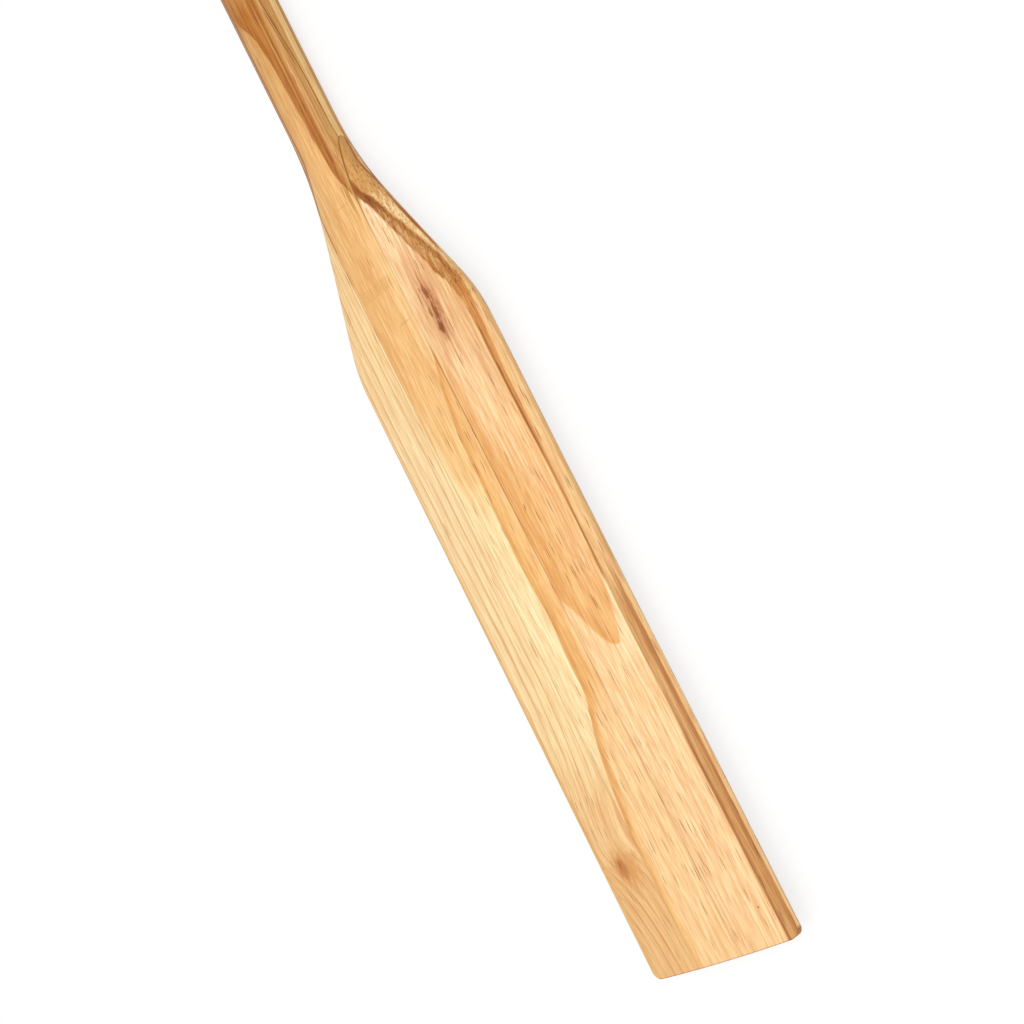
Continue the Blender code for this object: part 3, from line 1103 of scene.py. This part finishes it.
RIGHT_PINE = PineFinish(
    name="right_pine",
    tones=(
        (360, (208, 154, 92)), (425, (212, 158, 96)), (445, (252, 218, 172)),
        (500, (251, 211, 158)), (600, (250, 206, 153)), (750, (252, 209, 154)),
        (900, (250, 208, 154)), (1067, (247, 202, 146)),
    ),
    line_tone=(222, 152, 88),
    zones=(
        Zone((214, 160, 96), OUTER_CREASE, 120, (405, 500), (0.8, 0.8, 2), (2, 12)),
        Zone((246, 208, 152), OUTER_CREASE, OUTER_STRIP, (452, 498), (1, 0.8, 1), (30, 12), 0.95),
        Zone((238, 198, 142), beside(OUTER_STRIP, 2.6), 120, (362, 500), (0.8, 0.8, 2), (2, 12)),
        Zone((180, 110, 46), *strip(OUTER_STRIP, 0, 2.8), (368, 498), (0.4, 0.8, 1.2), (1, 15)),
        Zone((234, 188, 130), OUTER_CREASE, 120, (512, 800), (0.8, 0.8, 2), (20, 20)),
        Zone(
            (188, 127, 62), INNER_CREASE, OUTER_CREASE, (410, 610), (1.2, 1, 3), (2, 60),
            patch=0.35,
        ),
        Zone(
            (166, 104, 50), *strip(OUTER_CREASE, -4.4, -0.8), (424, 548), (1.4, 0.8, 4), (6, 30),
            0.9, 0.45,
        ),
        Zone(
            (168, 104, 50), *strip(INNER_CREASE, 0.6, 2.2), (436, 570), (0.6, 0.8, 4), (10, 30),
            0.85, 0.6,
        ),
        Zone((150, 88, 34), INNER_CREASE, OUTER_CREASE, (412, 440), (1, 1.4, 3), (2, 10), 0.85),
        Zone(
            (226, 172, 118), *strip(INNER_CREASE, -13, 0), (505, 620), (7, 0.8, 4), (20, 40), 0.55,
        ),
        Zone((208, 143, 78), INNER_CREASE, OUTER_CREASE, (548, 768), (0.8, 0.8, 1), (30, 12)),
        Zone(
            (134, 82, 40), *strip(INNER_CREASE, 0.8, 2.2), (575, 762), (0.5, 0.5, 1.6), (20, 30),
            0.8,
        ),
        Zone((190, 133, 75), 66.8, 77, (806, 1100), (0.8, 0.8, 1.2), (60, 12), patch=0.25),
        Zone((178, 118, 64), 73.5, 76.8, (800, 1100), (1.2, 0.8, 1.8), (50, 12), 0.75),
        Zone((166, 106, 56), 66.4, 68.8, (905, 1100), (0.8, 0.8, 1.6), (40, 12), 0.85),
        Zone((247, 201, 142), 76.8, 120, (790, 1100), (0.8, 0.8, 1.2)),
        Zone((250, 203, 150), 21.5, 60, (565, 640), (0, 0.8, 6), (30, 50), 0.6),
        Zone((240, 184, 119), TONGUE_LOW, TONGUE_HIGH, (680, 822.2), (0.9, 0.9, 1.6), (60, 0.6)),
        Zone((236, 174, 105), 21.5, 31, (600, 765), (0.8, 6, 6), (30, 12), 0.8),
        Zone((233, 170, 102), *strip(TONGUE_LOW, 1, 9), (755, 822.2), (1, 5, 3), (20, 0.6), 0.7),
        Zone((250, 203, 148), 48, 66, (660, 755), (4, 2, 12), (30, 30), 0.55),
        Zone(
            (255, 221, 170), beside(TONGUE_HIGH, 0.4), 66.2, (778, 835), (0.8, 0.8, 1), (10, 12),
            0.8,
        ),
        Zone((150, 96, 50), 22, 22.9, (560, 705), (0.4, 0.4, 0.4), strength=0.75),
        Zone((226, 166, 116), 30, 52, (498, 562), (8, 8, 12), (30, 20), 0.65),
        Zone((196, 130, 84), 37, 46.8, (512, 555), (4, 3, 16), (12, 8), 0.55),
        Zone(
            (142, 80, 44), *strip(BLEMISH_LOW, -0.9, 0.9), (519, 549), (0.9, 0.9, 16), (4, 2), 0.5,
            0.7,
        ),
        Zone(
            (142, 80, 44), *strip(BLEMISH_HIGH, -0.8, 0.8), (526, 558), (0.7, 0.7, 14), (4, 4),
            0.45, 0.7,
        ),
    ),
    canal_zones=(
        Zone(NO_TONE, 20, 40, (905, 1010), (3, 4, 3), strength=0.32),
        Zone(NO_TONE, INNER_CREASE, 80, (400, 560), (0.8, 2, 3), strength=0.5),
        Zone(NO_TONE, 74, 80, (540, 1000), strength=0.32),
        Zone(NO_TONE, 40, 62, (660, 820), (3, 3, 3), strength=0.22),
        Zone(NO_TONE, 24, 70, (360, 460), strength=0.4),
    ),
    spots=(
        Spot((144, 80, 38), (520.5, 41.8), (9, 4), strength=0.85, ragged=4.4),
        Spot((150, 88, 46), (535, 43), (10, 4.2), strength=0.8, ragged=4.4),
        Spot((138, 74, 34), (547.5, 40.8), (10, 2.6), strength=0.9, ragged=3.8),
        Spot((166, 102, 58), (533, 38.5), (8, 1.6), strength=0.6, ragged=3.4),
        Spot((150, 96, 50), (700, 33), (4, 0.8)),
        Spot((120, 72, 40), (1037, 56), (1.6, 1), ragged=0.4),
    ),
    ring_spacing=11.8, ring_strength=0.18, fine_strength=0.28, streak_strength=0.16,
)


@dataclass(frozen=True)
class Oar:
    """The oar: one centre stave with a wing glued along each side of its blade."""

    blank: WorkedBlank
    stave_half: float

    def pieces(self) -> tuple[tuple[str, str, str, Board, PineFinish], ...]:
        """Name, node, slot, board and finish of every piece."""
        return (
            ("centre_stave", "loom_stave", "pine_honey", Board.STAVE, STAVE_PINE),
            ("blade_wing_left", "left_wing", "pine_cream", Board.LEFT, LEFT_PINE),
            ("blade_wing_right", "right_wing", "pine_tan", Board.RIGHT, RIGHT_PINE),
        )

    def build(self) -> None:
        effects = WoodEffects()
        loft = BoardLoft(self.blank, self.stave_half)
        for name, node, slot, board, finish in self.pieces():
            piece = loft.build(name, board)
            piece.data.materials.append(finish.material(effects))
            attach(piece, "root")
            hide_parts(node)
            LOG.info("%s stands for %s, %d faces", name, node, len(piece.data.polygons))


@dataclass(frozen=True)
class Lamp:
    """A square soft light: its name, place, size and power."""

    name: str
    place: Vector
    size: float
    power: float


LAMPS = (
    Lamp("key", Vector((0.9, 1.2, 2.6)), 3.0, 38.0),
    Lamp("side", Vector((1.6, -1.6, 2.2)), 2.4, 12.0),
    Lamp("low", Vector((0.6, 2.6, 0.30)), 2.0, 34.0),
)


@dataclass(frozen=True)
class Studio:
    """Pale floor, soft light and the camera at the photograph's viewing angle."""

    lamps: tuple[Lamp, ...] = LAMPS
    camera_place: Vector = Vector((0.83133, 0.85611, 0.96430))
    camera_aim: Vector = Vector((0.6956, 0.00644, 0.02065))
    camera_roll: float = -109.835
    camera_view: float = 34.242
    camera_near: float = 0.02
    floor_size: float = 20.0
    fill_light: float = 0.56
    floor_paint: float = 0.26
    floor_roughness: float = 0.9
    floor_glow: float = 0.77
    far_glow: float = 0.90
    glow_start: float = 1.4
    glow_share: float = 3.0

    def build(self, floor_height: float) -> None:
        """Set up the camera, the lights, the sky and the floor.

        Args:
            floor_height: Height of the floor that the oar lies on.
        """
        self.camera()
        for lamp in self.lamps:
            self.hang(lamp)
        self.sky()
        self.floor(floor_height)

    def camera(self) -> None:
        """Make the camera and turn it as the photograph is framed."""
        data = bpy.data.cameras.new("photo_camera")
        data.angle = math.radians(self.camera_view)
        data.clip_start = self.camera_near
        camera = linked("photo_camera", data)
        self.aim(camera, self.camera_place)
        roll = Quaternion((0.0, 0.0, 1.0), math.radians(self.camera_roll))
        camera.rotation_quaternion = camera.rotation_quaternion @ roll
        bpy.context.scene.camera = camera

    def hang(self, lamp: Lamp) -> None:
        """Hang a lamp that faces the blade."""
        data = bpy.data.lights.new(lamp.name, "AREA")
        data.size = lamp.size
        data.energy = lamp.power
        self.aim(linked(lamp.name, data), lamp.place)

    def aim(self, thing: bpy.types.Object, place: Vector) -> None:
        """Put the camera or a lamp at the place and turn it to the camera's aim."""
        thing.location = place
        thing.rotation_mode = "QUATERNION"
        thing.rotation_quaternion = (self.camera_aim - place).to_track_quat("-Z", "Y")

    def seen(self, graph: Graph) -> Socket:
        """1 for rays that show the background: from the camera, off gloss and through glass."""
        path = graph.node("LightPath").outputs
        seen = graph.math("MAXIMUM", path["Is Camera Ray"], path["Is Glossy Ray"])
        return graph.math("MAXIMUM", seen, path["Is Transmission Ray"])

    def sky(self) -> None:
        """White all round to the eye, a soft even fill to the oar."""
        world = bpy.data.worlds.new("studio")
        bpy.context.scene.world = world
        world.use_nodes = True
        graph = Graph(world.node_tree)
        background = world.node_tree.nodes["Background"].inputs
        background["Color"].default_value = WHITE
        strength = graph.times(self.seen(graph), 1.0 - self.fill_light, self.fill_light)
        graph.feed(background["Strength"], strength)

    def floor(self, height: float) -> None:
        """Lay the pale floor, which keeps the oar's soft shadow."""
        mesh = bpy.data.meshes.new("floor")
        half = self.floor_size / 2
        corners = [(x * half, y * half, height) for x, y in ((-1, -1), (1, -1), (1, 1), (-1, 1))]
        mesh.from_pydata(corners, [], [(0, 1, 2, 3)])
        floor = linked("floor", mesh)
        paint = bpy.data.materials.new("floor_paint")
        paint.use_nodes = True
        graph = Graph(paint.node_tree)
        shader = paint.node_tree.nodes["Principled BSDF"].inputs
        shader["Base Color"].default_value = (self.floor_paint,) * 3 + (1.0,)
        shader["Roughness"].default_value = self.floor_roughness
        shader["Specular IOR Level"].default_value = 0.0
        shader["Emission Color"].default_value = WHITE
        distance = graph.node("VectorMath", operation="LENGTH")
        graph.feed(distance.inputs[0], graph.node("TexCoord").outputs["Object"])
        glow_end = self.floor_size / self.glow_share
        far = graph.step(distance.outputs["Value"], self.glow_start, glow_end)
        lit = graph.times(far, self.far_glow - self.floor_glow, self.floor_glow)
        graph.feed(shader["Emission Strength"], graph.times(self.seen(graph), lit))
        mesh.materials.append(paint)


def main() -> None:
    """Build the oar and the studio around the frame."""
    logging.basicConfig(level=logging.INFO, format="%(name)s: %(message)s")
    low, high = CAD_BOX
    blank = WorkedBlank(low[0], high[0], (high[2] - low[2]) / 2, (high[1] - low[1]) / 2)
    stave_low, stave_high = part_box("loom_stave")
    wing_low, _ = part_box("right_wing")
    stave_half = ((stave_high[1] - stave_low[1]) / 2 + wing_low[1]) / 2
    Oar(blank, stave_half).build()
    Studio().build(low[2] - FLOOR_GAP)
    bpy.context.scene.view_settings.view_transform = "Standard"


if __name__ == "__main__":
    main()
